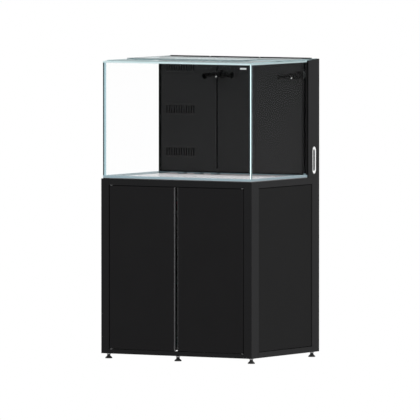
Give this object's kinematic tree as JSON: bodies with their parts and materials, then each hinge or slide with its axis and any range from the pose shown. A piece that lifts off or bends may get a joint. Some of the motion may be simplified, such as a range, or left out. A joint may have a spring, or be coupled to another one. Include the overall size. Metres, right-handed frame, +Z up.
{
  "type": "aquarium on stand",
  "caption": "Rimless glass aquarium on a black two-door cabinet stand, with a black overflow wall and rear chamber, return outlets, lids, levelling feet and a sump inside.",
  "frame": {"origin": "on the floor, under the centre of the stand", "axes": "+Z up; the doors and the tank's front face -Y; +X is to the right of someone facing the doors"},
  "size_m": [0.9, 0.7, 1.5554],
  "materials": {
    "frame_black": "satin powder coat",
    "panel_black": "matt black laminate on board",
    "board": "black melamine board",
    "steel": "zinc plated",
    "foot_black": "moulded glass-filled plastic",
    "catch_plastic": "moulded",
    "trim_metal": "anodised grey edge profile",
    "mat_foam": "white closed-cell levelling mat",
    "tank_glass": "clear glass with pale blue-green polished edges",
    "chamber_black": "black acrylic",
    "bezel_white": "white moulded",
    "window_dark": "dark window",
    "badge_light": "blank pale plate",
    "lid_clear": "clear acrylic",
    "outlet_black": "black moulded",
    "sump_glass": "clear",
    "sump_plastic": "black acrylic",
    "pipe_grey": "grey pipe",
    "pump_body": "black moulded",
    "knob_red": "red moulded"
  },
  "bodies": {
    "root": {"corner_posts": "frame_black", "top_rails": "frame_black", "bottom_rails": "frame_black", "cross_beams": "frame_black", "side_panels": "panel_black", "rear_panel": "panel_black", "cabinet_floor": "board", "top_deck": "board", "hinge_pins": "steel", "magnet_catches": "catch_plastic", "foot_inserts": "steel", "levelling_mat": "mat_foam", "bottom_glass": "tank_glass", "front_glass": "tank_glass", "side_glass": "tank_glass", "rear_glass": "tank_glass", "rim_braces": "tank_glass", "weir_sill": "chamber_black", "overflow_panel": "chamber_black", "service_panel": "chamber_black", "weir_combs": "chamber_black", "chamber_divider": "chamber_black", "column_covers": "frame_black", "rear_cover": "frame_black", "back_rail": "frame_black", "level_bezel": "bezel_white", "level_lens": "window_dark", "blank_badge": "badge_light", "lid_runners": "lid_clear", "wall_fittings": "outlet_black", "sump_panes": "sump_glass", "sump_baffles": "sump_glass", "cup_plate": "sump_plastic", "filter_cups": "sump_plastic", "return_pump": "pump_body", "return_pipe": "pipe_grey", "drain_pipes": "pipe_grey", "drain_valve": "pipe_grey", "bulkheads": "pipe_grey"},
    "left_door": {"left_door": "panel_black", "left_door_edge": "trim_metal"},
    "right_door": {"right_door": "panel_black", "right_door_edge": "trim_metal"},
    "foot_front_left": {"foot_front_left": "foot_black"},
    "foot_front_centre": {"foot_front_centre": "foot_black"},
    "foot_front_right": {"foot_front_right": "foot_black"},
    "foot_rear_left": {"foot_rear_left": "foot_black"},
    "foot_rear_centre": {"foot_rear_centre": "foot_black"},
    "foot_rear_right": {"foot_rear_right": "foot_black"},
    "front_lid": {"front_lid": "lid_clear", "front_lid_handle": "lid_clear"},
    "rear_lid": {"rear_lid": "lid_clear"},
    "chamber_lid": {"chamber_lid": "lid_clear"},
    "hub_left": {"return_hub_left": "outlet_black"},
    "hub_right": {"return_hub_right": "outlet_black"},
    "outlet_left_a": {"outlet_left_a": "outlet_black"},
    "outlet_left_b": {"outlet_left_b": "outlet_black"},
    "outlet_right": {"outlet_right": "outlet_black"},
    "valve_knob": {"valve_knob": "knob_red"}
  },
  "joints": [
    {"name": "left_door_hinge", "type": "hinge", "parent": "root", "child": "left_door", "pos_m": [-0.392, -0.341, 0.475], "axis": [0, 0, -1], "range_deg": [0, 100]},
    {"name": "right_door_hinge", "type": "hinge", "parent": "root", "child": "right_door", "pos_m": [0.392, -0.341, 0.475], "axis": [0, 0, 1], "range_deg": [0, 100]},
    {"name": "foot_front_left_level", "type": "slide", "parent": "root", "child": "foot_front_left", "axis": [0, 0, -1], "range_m": [0, 0.012]},
    {"name": "foot_front_centre_level", "type": "slide", "parent": "root", "child": "foot_front_centre", "axis": [0, 0, -1], "range_m": [0, 0.012]},
    {"name": "foot_front_right_level", "type": "slide", "parent": "root", "child": "foot_front_right", "axis": [0, 0, -1], "range_m": [0, 0.012]},
    {"name": "foot_rear_left_level", "type": "slide", "parent": "root", "child": "foot_rear_left", "axis": [0, 0, -1], "range_m": [0, 0.012]},
    {"name": "foot_rear_centre_level", "type": "slide", "parent": "root", "child": "foot_rear_centre", "axis": [0, 0, -1], "range_m": [0, 0.012]},
    {"name": "foot_rear_right_level", "type": "slide", "parent": "root", "child": "foot_rear_right", "axis": [0, 0, -1], "range_m": [0, 0.012]},
    {"name": "front_lid_slide", "type": "slide", "parent": "root", "child": "front_lid", "axis": [0, 1, 0], "range_m": [0, 0.155]},
    {"name": "rear_lid_lift", "type": "slide", "parent": "root", "child": "rear_lid", "axis": [0, 0, 1], "range_m": [0, 0.25]},
    {"name": "chamber_lid_lift", "type": "slide", "parent": "root", "child": "chamber_lid", "axis": [0, 0, 1], "range_m": [0, 0.25]},
    {"name": "hub_left_swivel", "type": "hinge", "parent": "root", "child": "hub_left", "pos_m": [-0.05, 0.174, 1.465], "axis": [0, 1, 0], "range_deg": [-30, 30]},
    {"name": "hub_right_swivel", "type": "hinge", "parent": "root", "child": "hub_right", "pos_m": [0.402, 0.174, 1.465], "axis": [0, 1, 0], "range_deg": [-30, 30]},
    {"name": "outlet_left_a_swing", "type": "hinge", "parent": "hub_left", "child": "outlet_left_a", "pos_m": [-0.074, 0.174, 1.465], "axis": [0, 0, 1], "range_deg": [-19, 9]},
    {"name": "outlet_left_b_swing", "type": "hinge", "parent": "hub_left", "child": "outlet_left_b", "pos_m": [-0.026, 0.174, 1.465], "axis": [0, 0, 1], "range_deg": [-22, 6]},
    {"name": "outlet_right_swing", "type": "hinge", "parent": "hub_right", "child": "outlet_right", "pos_m": [0.378, 0.174, 1.465], "axis": [0, 0, 1], "range_deg": [-15, 20]},
    {"name": "valve_knob_turn", "type": "hinge", "parent": "root", "child": "valve_knob", "pos_m": [-0.33, 0.21, 0.77], "axis": [0, -1, 0], "continuous": true}
  ]
}
